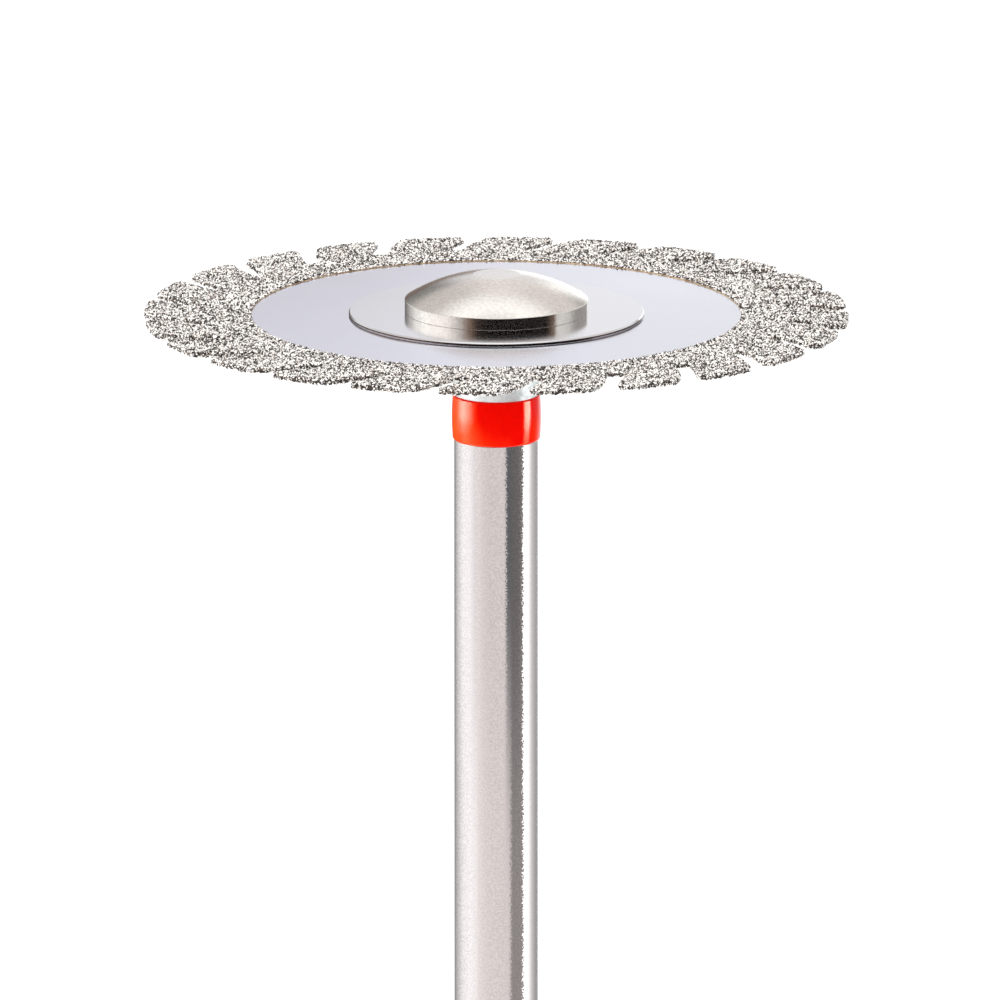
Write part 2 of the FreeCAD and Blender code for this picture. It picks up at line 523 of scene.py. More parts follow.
for node in ("upper_washer", "lower_washer"):
    washer_radius, foot, top = span(node)
    washer = lathe(node.replace("washer", "spring_washer"), [
        (STEM_RADIUS + STEM_CLEARANCE, foot),
        (washer_radius - FOOT_BREAK, foot),
        (washer_radius, foot + FOOT_BREAK),
        (washer_radius, top - TOP_BREAK_DROP),
        (washer_radius - TOP_BREAK_WIDTH, top),
        (STEM_RADIUS + STEM_CLEARANCE, top),
    ], washer_steel, closed=True)
    washer.data.materials.append(painted_shade_wall)
    for face in washer.data.polygons:
        outside = face.center.xy.length / MM > washer_radius / 2
        if outside and abs(face.normal.z) < UPRIGHT:
            face.material_index = 1
    dress(washer, "washer_steel", node)

# %% [markdown]
# ## The steel blank
# Between the washers and the coating a ring of the bare blank shows. It is flat and already
# right as a solid, so the solid stays and only gets a better material: the same rolled steel,
# a little bluer and with a deeper wave, because a blank of six hundredths of a millimetre
# never lies quite flat.

# %% Blank
blank_steel = rolled_steel(
    "rolled_spring_steel_blank",
    tint=0xDADAE2,
    roughness=0.14,
    grain=0.05,
    grain_depth=0.0004,
    wave_depth=0.006,
)
blank = frame["nodes"]["disc_blank"]
blank.data.materials.clear()
blank.data.materials.append(blank_steel)
print("blank: solid kept,", len(blank.data.polygons), "faces")

# %% [markdown]
# ## The domed head
# The head is turned: a low dome with a small flat faced at its apex, on an upright rim. The
# rim is nearly a mirror. The dome was blasted lightly after turning, so it is satin and shows
# a fine grain. How steep the surface stands tells the two apart, so one material does both.

# %% Material of the head
BLAST_GRAIN = 0.05
BLAST_DEPTH = 0.002

head_steel, tree = new_material("turned_and_blasted_stainless_steel")
place = add_node(tree, "ShaderNodeTexCoord").outputs["Object"]
surface = add_node(tree, "ShaderNodeNewGeometry")
facing = add_node(tree, "ShaderNodeSeparateXYZ", {"Vector": surface.outputs["Normal"]})
rough = add_node(tree, "ShaderNodeMapRange", {
    "Value": facing.outputs["Z"],
    "From Min": 0.3,
    "From Max": 0.7,
    "To Min": 0.08,
    "To Max": 0.22,
})
grain = add_noise(tree, place, BLAST_GRAIN, 4.0, 0.75)
tone = add_node(tree, "ShaderNodeValToRGB", {"Fac": grain}, stops=[
    (0.3, linear(0xD4CEC6)),
    (0.7, linear(0xEFECE7)),
])
shader = add_node(tree, "ShaderNodeBsdfPrincipled", {
    "Base Color": tone.outputs[0],
    "Metallic": 1.0,
    "Roughness": rough.outputs[0],
    "Normal": add_bump(tree, grain, BLAST_DEPTH),
})
finish_material(tree, shader)

# %% Head
HEAD_RIM_HEIGHT = 0.34
HEAD_ROUND = 0.03
HEAD_FOOT_CHAMFER = 0.005
HEAD_FOOT_ROUND = 0.01
APEX_FLAT_RADIUS = 0.65
DOME_STEPS = 24
STEM_END_CHAMFER = 0.15

head_foot = span("upper_washer")[2]
rim_top = head_foot + HEAD_RIM_HEIGHT
run, rise = head_radius - APEX_FLAT_RADIUS, apex - rim_top
sphere_foot = (head_radius ** 2 - APEX_FLAT_RADIUS ** 2 - rise ** 2) / (2 * rise)
sphere_radius = math.hypot(head_radius, sphere_foot)
dome = []
for step in range(DOME_STEPS):
    radius = head_radius - run * step / DOME_STEPS
    dome.append((radius, rim_top - sphere_foot + math.sqrt(sphere_radius ** 2 - radius ** 2)))
head = lathe("domed_head", [
    (0, stem_foot),
    (STEM_RADIUS - STEM_END_CHAMFER, stem_foot),
    (STEM_RADIUS, stem_foot + STEM_END_CHAMFER),
    (STEM_RADIUS, head_foot),
    (head_radius - HEAD_FOOT_CHAMFER, head_foot, HEAD_FOOT_ROUND),
    (head_radius, head_foot + HEAD_FOOT_CHAMFER, HEAD_FOOT_ROUND),
    (*dome[0], HEAD_ROUND),
    *dome[1:],
    (APEX_FLAT_RADIUS, apex, HEAD_ROUND),
    (0, apex),
], head_steel)
dress(head, "head_steel", "lens_head")

# %% [markdown]
# ## Outline of the slotted rim
# Twenty-four slots lean and bend clockwise on their way out. Each slot is a band between two
# arcs about one centre, so the whole outline follows from a few sizes, and the outline at a
# small inset from it is the same outline with other radii. That matters here: several insets,
# one above the other, give the rim its rounded edge with no modifier.

# %% Sizes of the slots
SLOTS = 24
SLOT_WIDTH = 0.45
SLOT_INNER_RADIUS = 8.15
SLOT_LEAN = math.radians(22.8)
SLOT_BEND = 5.3
SLOT_END_ROUND = 0.1
FIRST_SLOT = math.radians(8.6)
TIP_ROUND = 0.23
HEEL_ROUND = 0.4

COAT_INNER_RADIUS = 6.8
# Steps along the parts of one slot's outline.
HEEL_STEPS, WALL_STEPS, END_STEPS, TIP_STEPS, RIM_STEPS = 6, 10, 4, 8, 12

rim_radius, coat_foot, coat_top = span("diamond_coating")
slot_centre = complex(
    SLOT_INNER_RADIUS - SLOT_BEND * math.sin(SLOT_LEAN), -SLOT_BEND * math.cos(SLOT_LEAN)
)
slot_end_angle = math.pi / 2 - SLOT_LEAN
print(f"coating: radius {rim_radius:.2f} mm, from {coat_foot:.3f} to {coat_top:.3f} mm")


# %% Arcs as complex numbers
def unit(angle):
    """Point on the unit circle, as a complex number: real is X and imaginary is Y."""
    return complex(math.cos(angle), math.sin(angle))


def meeting(from_axis, from_centre):
    """Point at these two distances, from the axis and from the slot's centre."""
    between = abs(slot_centre)
    along = (from_axis ** 2 - from_centre ** 2 + between ** 2) / (2 * between)
    aside = math.sqrt(from_axis ** 2 - along ** 2)
    return slot_centre / between * complex(along, aside)


def arc_points(centre, radius, first, last, steps):
    """Points on an arc, both ends included."""
    return [centre + radius * unit(first + (last - first) * s / steps) for s in range(steps + 1)]


def angle_of(point):
    """Direction of a point from the axis."""
    return math.atan2(point.imag, point.real)


# %% Outline of the rim
def mouth_corners(inset):
    """The heel and the tip beside a slot's mouth: centre, radius, first and last direction."""
    rim = rim_radius - inset
    heel, tip = HEEL_ROUND - inset, TIP_ROUND - inset
    heel_centre = meeting(rim - heel, SLOT_BEND - SLOT_WIDTH / 2 - inset - heel)
    tip_centre = meeting(rim - tip, SLOT_BEND + SLOT_WIDTH / 2 + inset + tip)
    heel_wall, tip_wall = angle_of(heel_centre - slot_centre), angle_of(tip_centre - slot_centre)
    return (
        (heel_centre, heel, angle_of(heel_centre), heel_wall),
        (tip_centre, tip, tip_wall - math.pi, angle_of(tip_centre)),
    )


def slot_outline(inset):
    """One slot's part of the outline, from the rim round the slot and back to the rim."""
    heel, tip = mouth_corners(inset)
    near, far = SLOT_BEND - SLOT_WIDTH / 2 - inset, SLOT_BEND + SLOT_WIDTH / 2 + inset
    end = SLOT_END_ROUND + inset
    floor = slot_end_angle + inset / SLOT_BEND
    near_turn = floor - math.asin(end / (near + end))
    far_turn = floor - math.asin(end / (far - end))
    near_corner = slot_centre + (near + end) * unit(near_turn)
    far_corner = slot_centre + (far - end) * unit(far_turn)
    across = floor + math.pi / 2
    points = arc_points(*heel, HEEL_STEPS)
    points += arc_points(slot_centre, near, heel[3], near_turn, WALL_STEPS)[1:]
    points += arc_points(near_corner, end, near_turn + math.pi, across, END_STEPS)[1:]
    points += arc_points(far_corner, end, across, far_turn, END_STEPS)
    points += arc_points(slot_centre, far, far_turn, tip[2] + math.pi, WALL_STEPS)[1:]
    points += arc_points(*tip, TIP_STEPS)[1:]
    return points


def rim_outline(inset):
    """The whole outline at this inset, counter-clockwise seen from above."""
    points = []
    pitch = 2 * math.pi / SLOTS
    for number in range(SLOTS):
        points += [p * unit(FIRST_SLOT + number * pitch) for p in slot_outline(inset)]
        start = angle_of(points[-1])
        following = slot_outline(inset)[0] * unit(FIRST_SLOT + (number + 1) * pitch)
        sweep = (angle_of(following) - start) % (2 * math.pi)
        points += [
            (rim_radius - inset) * unit(start + sweep * s / RIM_STEPS) for s in range(1, RIM_STEPS)
        ]
    return points


print("outline:", len(rim_outline(0.0)), "points")

# %% [markdown]
# ## Electroplated nickel with diamond grit
# The rim is plated with nickel that holds crystals of diamond about 0.07 mm across. Between
# them the nickel lies deep, and its colour is painted dark, darkest between its nodules: painted
# shade in the gaps between the crystals, which catch the light, each with its own facets. A
# bump map would look soft at this size, so the crystals are real geometry. The nickel is one
# body under them. Its inner wall, bare of crystals, gets a light tan copy of the nickel, which
# is painted light on that thin lip.

# %% Nickel
NODULE_WIDTH = 0.03
NODULE_DEPTH = 0.01
LIP_GRAIN = 0.06

nickel, tree = new_material("electroplated_nickel")
place = add_node(tree, "ShaderNodeTexCoord").outputs["Object"]
nodules = add_node(tree, "ShaderNodeTexVoronoi", {
    "Vector": place,
    "Scale": 1 / (NODULE_WIDTH * MM),
})
# The ramp paints the nickel dark, darkest between its nodules: painted shade between the crystals.
nickel_painted_shade = add_node(tree, "ShaderNodeValToRGB", {"Fac": nodules.outputs[0]}, stops=[
    (0.0, linear(0x8E847C)),
    (0.8, linear(0x2E2722)),
])
shader = add_node(tree, "ShaderNodeBsdfPrincipled", {
    "Base Color": nickel_painted_shade.outputs[0],
    "Metallic": 1.0,
    "Roughness": 0.42,
    "Normal": add_bump(tree, nodules.outputs[0], NODULE_DEPTH),
})
finish_material(tree, shader)

# A light tan copy of the nickel for its inner wall: painted light on the lip.
painted_light_edge, tree = new_material("bare_nickel_lip")
place = add_node(tree, "ShaderNodeTexCoord").outputs["Object"]
grain = add_noise(tree, place, LIP_GRAIN, 3.0)
tan = add_node(tree, "ShaderNodeValToRGB", {"Fac": grain}, stops=[
    (0.35, linear(0x9C7F62)),
    (0.65, linear(0xE0C8A6)),
])
shader = add_node(tree, "ShaderNodeBsdfPrincipled", {
    "Base Color": tan.outputs[0],
    "Metallic": 0.3,
    "Roughness": 0.55,
})
finish_material(tree, shader)

# %% Nickel's outer wall
NICKEL_INSET = 0.02
NICKEL_EDGE_ROUND = 0.03

nickel_top, nickel_foot = coat_top - NICKEL_INSET, coat_foot + NICKEL_INSET
edge_arc = []
for step in range(ROUND_STEPS + 1):
    turn = math.pi / 2 * step / ROUND_STEPS
    inset = NICKEL_INSET + NICKEL_EDGE_ROUND * (1 - math.sin(turn))
    drop = NICKEL_EDGE_ROUND * (1 - math.cos(turn))
    edge_arc.append((inset, drop))
section = [(inset, nickel_foot + drop) for inset, drop in edge_arc]
section += [(inset, nickel_top - drop) for inset, drop in reversed(edge_arc)]

vertices, faces = [], []
for inset, height in section:
    vertices += [(p.real, p.imag, height) for p in rim_outline(inset)]
around = len(rim_outline(0.0))
for row in range(len(section) - 1):
    for n in range(around):
        a, b = row * around + n, row * around + (n + 1) % around
        faces.append([a, b, b + around, a + around])
wall_faces = len(faces)

# %% Nickel's inner wall and its two faces
INNER_STEPS = 384

inner_start = len(vertices)
for height in (nickel_foot, nickel_top):
    for n in range(INNER_STEPS):
        p = COAT_INNER_RADIUS * unit(2 * math.pi * n / INNER_STEPS)
        vertices.append((p.real, p.imag, height))
for n in range(INNER_STEPS):
    a, b = inner_start + n, inner_start + (n + 1) % INNER_STEPS
    faces.append([b, a, a + INNER_STEPS, b + INNER_STEPS])
for outer_start, hole_start, downward in (
    (0, inner_start, True),
    (wall_faces, inner_start + INNER_STEPS, False),
):
    outer = list(range(outer_start, outer_start + around))
    hole = list(range(hole_start, hole_start + INNER_STEPS))
    loops = [[Vector(vertices[v]) for v in loop] for loop in (outer, hole)]
    numbers = outer + hole
    for triangle in tessellate_polygon(loops):
        a, b, c = (Vector(vertices[numbers[v]]) for v in triangle)
        face = [numbers[v] for v in triangle]
        upward = (b - a).cross(c - a).z > 0
        faces.append(face if upward != downward else face[::-1])
body = make_object("nickel_plating", vertices, faces, nickel, smooth_below=40)
body.data.materials.append(painted_light_edge)
for face in body.data.polygons[wall_faces:wall_faces + INNER_STEPS]:
    face.material_index = 1
dress(body, "diamond_nickel", "diamond_coating")

# %% [markdown]
# ## The diamond crystals
# Only the part of a crystal that stands out of the nickel is seen, so each one is a leaning
# point of four flat facets. Its colour comes from Random Per Island, so one mesh holds
# thousands of grains that all differ: many are clear and near white, a few grey, and a third
# are painted nearly black, as painted shade between the grains and painted dark reflections.
# They are dielectric with diamond's IOR of 2.42. Such a skin reflects a sixth of a bright tent,
# which would turn the dark grains grey, so the specular level is low and leaves only the glints.

# %% Crystal material
diamond, tree = new_material("synthetic_diamond_grit")
island = add_node(tree, "ShaderNodeNewGeometry")
# The near-black stops give a third of the grains painted shade and painted dark reflections.
grit_colour_painted_shade = add_node(tree, "ShaderNodeValToRGB", {
    "Fac": island.outputs["Random Per Island"],
}, stops=[
    (0.0, linear(0x0C0604)),
    (0.33, linear(0x1A100C)),
    (0.42, linear(0x8C7D73)),
    (0.55, linear(0xF8F2EC)),
    (1.0, linear(0xFFFDFA)),
])
shader = add_node(tree, "ShaderNodeBsdfPrincipled", {
    "Base Color": grit_colour_painted_shade.outputs[0],
    "Roughness": 0.12,
    "Specular IOR Level": 0.2,
    "IOR": 2.42,
})
finish_material(tree, shader)

# %% Crystal shape
CRYSTAL_RADIUS = (0.034, 0.046)
# How much chance is mixed into the direction of a crystal's point.
LEAN = 0.35
# Shares of a crystal's radius, and the turn of a corner in radians.
CORNER_REACH = (0.8, 1.2)
CORNER_TURN = 0.4
SUNK = 0.3
POINT_HEIGHT = (0.6, 1.1)
POINT_SHIFT = 0.5
draw = np.random.default_rng(41)


def spread(limit, size):
    """Random values between minus and plus the limit."""
    return draw.uniform(-limit, limit, size)


def unit_rows(rows):
    """Each row scaled to length one."""
    return rows / np.linalg.norm(rows, axis=-1, keepdims=True)


def crystals(name, places, outward):
    """One mesh of a crystal at each place, pointing outward and kept inside the disc's radius."""
    count = len(places)
    size = draw.uniform(*CRYSTAL_RADIUS, size=(count, 1))
    ahead = unit_rows(outward + draw.normal(size=(count, 3)) * LEAN)
    aside = unit_rows(np.cross(ahead, draw.normal(size=(count, 3))))
    across = np.cross(ahead, aside)
    points = np.empty((count, 5, 3))
    for corner in range(4):
        turn = corner * math.pi / 2 + spread(CORNER_TURN, (count, 1))
        reach = size * draw.uniform(*CORNER_REACH, size=(count, 1))
        points[:, corner] = (np.cos(turn) * aside + np.sin(turn) * across) * reach
        points[:, corner] -= SUNK * size * ahead
    points[:, 4] = ahead * size * draw.uniform(*POINT_HEIGHT, size=(count, 1))
    points[:, 4] += aside * size * spread(POINT_SHIFT, (count, 1))
    points += np.asarray(places)[:, None, :]
    squeeze = np.minimum(1.0, rim_radius / np.hypot(points[..., 0], points[..., 1]))
    points[..., :2] *= squeeze[..., None]
    facets = np.array([(0, 1, 4), (1, 2, 4), (2, 3, 4), (3, 0, 4)])
    faces = (facets[None] + 5 * np.arange(count)[:, None, None]).reshape(-1, 3)
    piece = make_object(name, points.reshape(-1, 3), faces.tolist(), diamond, smooth_below=0)
    return dress(piece, "diamond_nickel", "diamond_coating")


# %% Places on the coated faces
PITCH = 0.058
ROW_PITCH = PITCH * math.sqrt(3) / 2
PLACE_JITTER = 0.4
HEIGHT_JITTER = 0.01
FACE_MARGIN = 0.02
# How far past a rounded corner the slot's mouth reaches, as a share of the slot's width.
MOUTH_REACH = 0.9


def on_coating(x, y, margin):
    """Which points lie on the coated face, at least this far from its edges."""
    spot = x + 1j * y
    reach = np.abs(spot)
    inside = (reach > COAT_INNER_RADIUS + margin) & (reach < rim_radius - margin)
    for number in range(SLOTS):
        turned = spot * unit(-FIRST_SLOT - number * 2 * math.pi / SLOTS)
        from_centre = turned - slot_centre
        off_wall = np.abs(np.abs(from_centre) - SLOT_BEND) > SLOT_WIDTH / 2 + margin
        past_end = np.angle(from_centre) > slot_end_angle + margin / SLOT_BEND
        far_side = np.angle(from_centre) < 0
        inside &= off_wall | past_end | far_side
        for centre, radius, first, last in mouth_corners(0.0):
            way = turned - centre
            beyond = np.abs(way) > radius - margin
            near = np.abs(way) < radius + SLOT_WIDTH * MOUTH_REACH
            in_corner = (np.angle(way) - first) % (2 * math.pi) < (last - first) % (2 * math.pi)
            inside &= ~(beyond & near & in_corner)
    return inside


def face_places(height):
    """Crystal centres over one face: a jittered triangular grid."""
    rows = int(rim_radius / ROW_PITCH) + 1
    columns = int(rim_radius / PITCH) + 1
    row, column = np.mgrid[-rows:rows + 1, -columns:columns + 1]
    x = (column + 0.5 * (row % 2)) * PITCH
    y = row * ROW_PITCH
    x, y = x.ravel(), y.ravel()
    x = x + spread(PLACE_JITTER, x.size) * PITCH
    y = y + spread(PLACE_JITTER, y.size) * PITCH
    keep = on_coating(x, y, FACE_MARGIN)
    z = height + spread(HEIGHT_JITTER, keep.sum())
    return np.column_stack([x[keep], y[keep], z])


for side, height, up in (("upper", nickel_top, 1.0), ("lower", nickel_foot, -1.0)):
    places = face_places(height)
    outward = np.tile((0.0, 0.0, up), (len(places), 1))
    ahead = places[:, 1] < 0
    crystals(f"diamond_grit_{side}_front", places[ahead], outward[ahead])
    crystals(f"diamond_grit_{side}_back", places[~ahead], outward[~ahead])

# %% Crystals on the rim and the slot walls
RIM_PITCH = 0.045
RIM_SINK = 0.01
# Heights of the rows, as shares of the coating's thickness.
RIM_ROWS = (0.2, 0.5, 0.8)
ROW_JITTER = 0.08

outline = np.array(rim_outline(NICKEL_INSET + RIM_SINK))
closed = np.append(outline, outline[0])
ends = np.concatenate([[0], np.cumsum(np.abs(np.diff(closed)))])
rim_places, rim_outward = [], []
for height in RIM_ROWS:
    count = int(ends[-1] / RIM_PITCH)
    along = (np.arange(count) + spread(PLACE_JITTER, count)) * RIM_PITCH % ends[-1]
    spot = np.interp(along, ends, closed.real) + 1j * np.interp(along, ends, closed.imag)
    edge = np.clip(np.searchsorted(ends, along) - 1, 0, len(outline) - 1)
    out = -1j * (closed[edge + 1] - closed[edge])
    z = coat_foot + (coat_top - coat_foot) * (height + spread(ROW_JITTER, count))
    rim_places.append(np.column_stack([spot.real, spot.imag, z]))
    rim_outward.append(unit_rows(np.column_stack([out.real, out.imag, np.zeros(count)])))
crystals("diamond_grit_rim", np.concatenate(rim_places), np.concatenate(rim_outward))

# %% [markdown]
# ## The floor
# The photograph has a plain white ground, so the floor is white paper. It glows a little for
# the camera alone, which brings it to the photograph's pure white and lights nothing else.

# %% Helper for things that glow
def emitting(name, colour, see_through=False):
    """A material whose colour is only emitted, and is never searched as a lamp."""
    material, tree = new_material(name)
    glow = add_node(tree, "ShaderNodeEmission", {"Color": colour(tree)})
    if see_through:
        clear = add_node(tree, "ShaderNodeBsdfTransparent")
        glow = add_node(tree, "ShaderNodeAddShader", {0: glow.outputs[0], 1: clear.outputs[0]})
    finish_material(tree, glow)
    material.cycles.emission_sampling = "NONE"
    return material


# %% Floor
FLOOR_HALF = 3000
FLOOR_GLOW = 0.22
# Spots of the paper's fibre across the whole floor.
FIBRES = 2500

floor_paint, tree = new_material("white_seamless_paper")
path = add_node(tree, "ShaderNodeLightPath")
fibre = add_node(tree, "ShaderNodeTexNoise", {"Scale": FIBRES, "Detail": 3.0})
paper_tone = add_node(tree, "ShaderNodeValToRGB", {"Fac": fibre.outputs[0]}, stops=[
    (0.0, linear(0xF4F4F4)),
    (1.0, linear(0xFAFAFA)),
])
paper = add_node(tree, "ShaderNodeBsdfDiffuse", {"Color": paper_tone.outputs[0]})
lift = add_node(tree, "ShaderNodeMath", {
    0: path.outputs["Is Camera Ray"],
    1: FLOOR_GLOW,
}, operation="MULTIPLY")
glow = add_node(tree, "ShaderNodeEmission", {"Strength": lift.outputs[0]})
both = add_node(tree, "ShaderNodeAddShader", {0: paper.outputs[0], 1: glow.outputs[0]})
finish_material(tree, both)
floor = make_object("floor", [
    (-FLOOR_HALF, -FLOOR_HALF, 0),
    (FLOOR_HALF, -FLOOR_HALF, 0),
    (FLOOR_HALF, FLOOR_HALF, 0),
    (-FLOOR_HALF, FLOOR_HALF, 0),
], [(0, 1, 2, 3)], floor_paint)

# %% [markdown]
# ## The light tent
# Polished metal shows what stands round it, so a tent that shows only in reflections matters
# more than the lamps. Each height of its wall is mirrored by another piece: the part below 17
# millimetres by the lower shank, the part up to 41 by the upper shank, and the part above 57 by
# the flat plate and the head's apex. So every height has its own list of brightnesses round the
# compass, and each list blends into the one above. They were read from the photograph's
# stripes: a bright left side, a dark gap and a bright strip on the right. The head's rim
# mirrors the plate, and in it a dark card. The card shows only to light that was already
# reflected once, so that the plate itself doesn't turn black when it is seen from behind.

# %% Tent helpers
TENT_RADIUS = 85
TENT_HEIGHT = 150
TENT_FOOT = 0.1
TENT_FOOT_RADIUS = 1.3
# A Mix node's sockets share their names, so those for colours are found by number.
MIX_SHARE, MIX_BELOW, MIX_ABOVE, MIX_RESULT = 0, 6, 7, 2
# Ray Depth is 1 in a first reflection and 2 in a second.
SECOND_REFLECTION = 1.5


def hide_from_camera(screen):
    """Leaves a screen to glossy rays alone."""
    screen.visible_camera = False
    screen.visible_diffuse = False
    screen.visible_shadow = False
    screen.visible_transmission = False


def compass_ramp(tree, turn, stops):
    """Light round the tent. A stop is degrees to the camera's right, brightness and tint."""
    colours = []
    for degrees, brightness, tint in stops:
        red, green, blue, _ = linear(tint)
        colours.append((
            (degrees + 180) / 360,
            (red * brightness, green * brightness, blue * brightness, 1.0),
        ))
    return add_node(tree, "ShaderNodeValToRGB", {"Fac": turn}, stops=colours).outputs[0]


def blend(tree, share, below, above):
    """The first colour where the share is 0 and the second where it is 1."""
    return add_node(tree, "ShaderNodeMix", {
        MIX_SHARE: share,
        MIX_BELOW: below,
        MIX_ABOVE: above,
    }, data_type="RGBA").outputs[MIX_RESULT]


def level_colour(tree, levels):
    """A compass ramp for each level of a wall, blended into the next one above. A level is the
    heights of its blend, its stops, and other stops for a first reflection if it has them."""
    place = add_node(tree, "ShaderNodeTexCoord")
    parts = add_node(tree, "ShaderNodeSeparateXYZ", {"Vector": place.outputs["Object"]})
    ahead = add_node(tree, "ShaderNodeMath", {
        0: parts.outputs["Y"],
        1: -1.0,
    }, operation="MULTIPLY")
    angle = add_node(tree, "ShaderNodeMath", {
        0: parts.outputs["X"],
        1: ahead.outputs[0],
    }, operation="ARCTAN2")
    turn = add_node(tree, "ShaderNodeMapRange", {
        "Value": angle.outputs[0],
        "From Min": -math.pi,
        "From Max": math.pi,
    }).outputs[0]
    path = add_node(tree, "ShaderNodeLightPath")
    again = add_node(tree, "ShaderNodeMath", {
        0: path.outputs["Ray Depth"],
        1: SECOND_REFLECTION,
    }, operation="GREATER_THAN")
    colour = None
    for (blend_from, blend_to), stops, *first_stops in levels:
        level = compass_ramp(tree, turn, stops)
        if first_stops:
            level = blend(tree, again.outputs[0], compass_ramp(tree, turn, *first_stops), level)
        if colour:
            share = add_node(tree, "ShaderNodeMapRange", {
                "Value": parts.outputs["Z"],
                "From Min": blend_from * MM,
                "From Max": blend_to * MM,
            }, interpolation_type="SMOOTHSTEP")
            level = blend(tree, share.outputs[0], colour, level)
        colour = level
    return colour


def tent_walls(name, inside, levels, see_through=False):
    """An upright wall, this far inside the tent, with a floor that runs in to the shank."""
    vertices, faces = [], []
    corners = (
        (TENT_FOOT_RADIUS, TENT_FOOT + inside),
        (TENT_RADIUS - inside, TENT_FOOT + inside),
        (TENT_RADIUS - inside, TENT_HEIGHT - inside),
    )
    for step in range(LATHE_STEPS):
        way = unit(2 * math.pi * step / LATHE_STEPS)
        vertices += [(way.real * radius, way.imag * radius, height) for radius, height in corners]
        a, b = len(corners) * step, len(corners) * ((step + 1) % LATHE_STEPS)
        faces += [[a, b, b + 1, a + 1], [a + 1, b + 1, b + 2, a + 2]]
    glow = emitting(name, lambda tree: level_colour(tree, levels), see_through)
    walls = make_object(name, vertices, faces, glow)
    hide_from_camera(walls)
    return walls


def light_only(screen, name, state):
    """Shows a screen's light to the colour ring alone, or to everything else."""
    group = bpy.data.collections.new(name)
    group.objects.link(ring)
    group.collection_objects[0].light_linking.link_state = state
    screen.light_linking.receiver_collection = group


# %% Light of the tent
WHITE = 0xFFFFFF
WARM = 0xFFF9F8
PEACH = 0xFFE2CC
APRICOT = 0xFFC890
ORANGE = 0xFFB070
AMBER = 0xFFA040
BROWN = 0xFFD6C0
TEAL = 0xECF6FF
SHANK_FOOT_LEVEL = [
    (-180, 0.7, WHITE),
    (-172, 0.35, WHITE),
    (-156, 0.36, WHITE),
    (-132, 0.74, WHITE),
    (-120, 0.95, WHITE),
    (-108, 1.22, WHITE),
    (-96, 1.36, WHITE),
    (-77, 1.45, WHITE),
    (-57, 1.33, WHITE),
    (-48, 1.2, WARM),
    (-24, 1.07, WARM),
    (36, 1.0, WARM),
    (43, 0.4, WARM),
    (77, 0.42, WARM),
    (78.5, 2.0, WHITE),
    (99, 1.6, WHITE),
    (113, 0.88, WHITE),
    (130, 0.55, WHITE),
    (146, 0.4, WHITE),
    (156, 0.9, WHITE),
    (168, 1.1, WHITE),
    (180, 0.9, WHITE),
]
SHANK_LEVEL = [
    (-180, 0.6, WHITE),
    (-172, 0.18, WHITE),
    (-156, 0.34, WHITE),
    (-144, 0.6, WHITE),
    (-132, 0.88, WHITE),
    (-115, 1.2, WHITE),
    (-103, 1.42, WHITE),
    (-77, 1.4, WHITE),
    (-60, 1.1, WHITE),
    (-48, 1.15, WARM),
    (-36, 1.02, WARM),
    (-18, 0.96, WARM),
    (24, 0.98, WARM),
    (29, 0.18, TEAL),
    (50, 0.2, WARM),
    (65, 0.22, WARM),
    (77, 0.36, WARM),
    (78.5, 2.2, WHITE),
    (99, 1.6, WHITE),
    (113, 0.85, WHITE),
    (130, 0.6, WHITE),
    (146, 0.48, WHITE),
    (156, 1.0, WHITE),
    (168, 1.2, WHITE),
    (180, 0.9, WHITE),
]
DOME_LEVEL = [
    (-180, 0.9, WHITE),
    (-178, 0.25, BROWN),
    (-160, 0.12, BROWN),
    (-130, 0.9, WHITE),
    (-100, 0.95, WHITE),
    (-60, 1.1, WHITE),
    (-30, 0.02, BROWN),
    (78, 0.0, BROWN),
    (81, 0.8, WHITE),
    (119, 0.8, WHITE),
    (150, 1.6, WHITE),
    (176, 1.8, WHITE),
    (180, 0.9, WHITE),
]
PLATE_LEVEL = [
    (-180, 1.05, 0xF9F9FF),
    (-176.5, 0.97, 0xF9F9FF),
    (-172, 0.9, 0xF9F9FF),
    (-168, 0.2, WHITE),
    (-156, 0.28, WHITE),
    (-145, 0.5, WHITE),
    (-132, 0.86, WHITE),
    (-120, 1.31, WHITE),
    (-100, 1.75, WHITE),
    (-72, 1.65, WARM),
    (-60, 1.35, WARM),
    (-48, 0.85, WARM),
    (-36, 0.36, BROWN),
    (-24, 0.04, BROWN),
    (-10, 0.0, BROWN),
    (66, 0.01, BROWN),
    (77, 0.3, BROWN),
    (82, 1.06, WHITE),
    (98, 0.95, WHITE),
    (110, 0.6, WHITE),
    (120, 0.38, WARM),
    (145, 0.32, WARM),
    (156, 0.24, WHITE),
    (165, 1.5, WHITE),
    (171, 0.89, 0xFCFCFF),
    (176, 0.93, 0xFCFCFF),
    (180, 1.05, 0xF9F9FF),
]
PLATE_FIRST_LEVEL = [
    *PLATE_LEVEL[:5],
    (-140, 0.95, WHITE),
    (135, 0.95, WHITE),
    *PLATE_LEVEL[-6:],
]
UPPER_LEVEL = [
    (-180, 1.0, WARM),
    (-165, 0.72, WARM),
    (-130, 0.7, WARM),
    (-60, 0.9, WARM),
    (60, 0.9, WARM),
    (130, 0.8, WARM),
    (165, 0.85, WARM),
    (180, 1.0, WARM),
]
TENT_LEVELS = [
    ((0, 0), SHANK_FOOT_LEVEL),
    ((6, 17), SHANK_LEVEL),
    ((41, 45), DOME_LEVEL),
    ((57.5, 60), PLATE_LEVEL, PLATE_FIRST_LEVEL),
    ((76, 95), UPPER_LEVEL),
]
light_only(tent_walls("tent_walls", 0.0, TENT_LEVELS), "all_but_the_ring", "EXCLUDE")

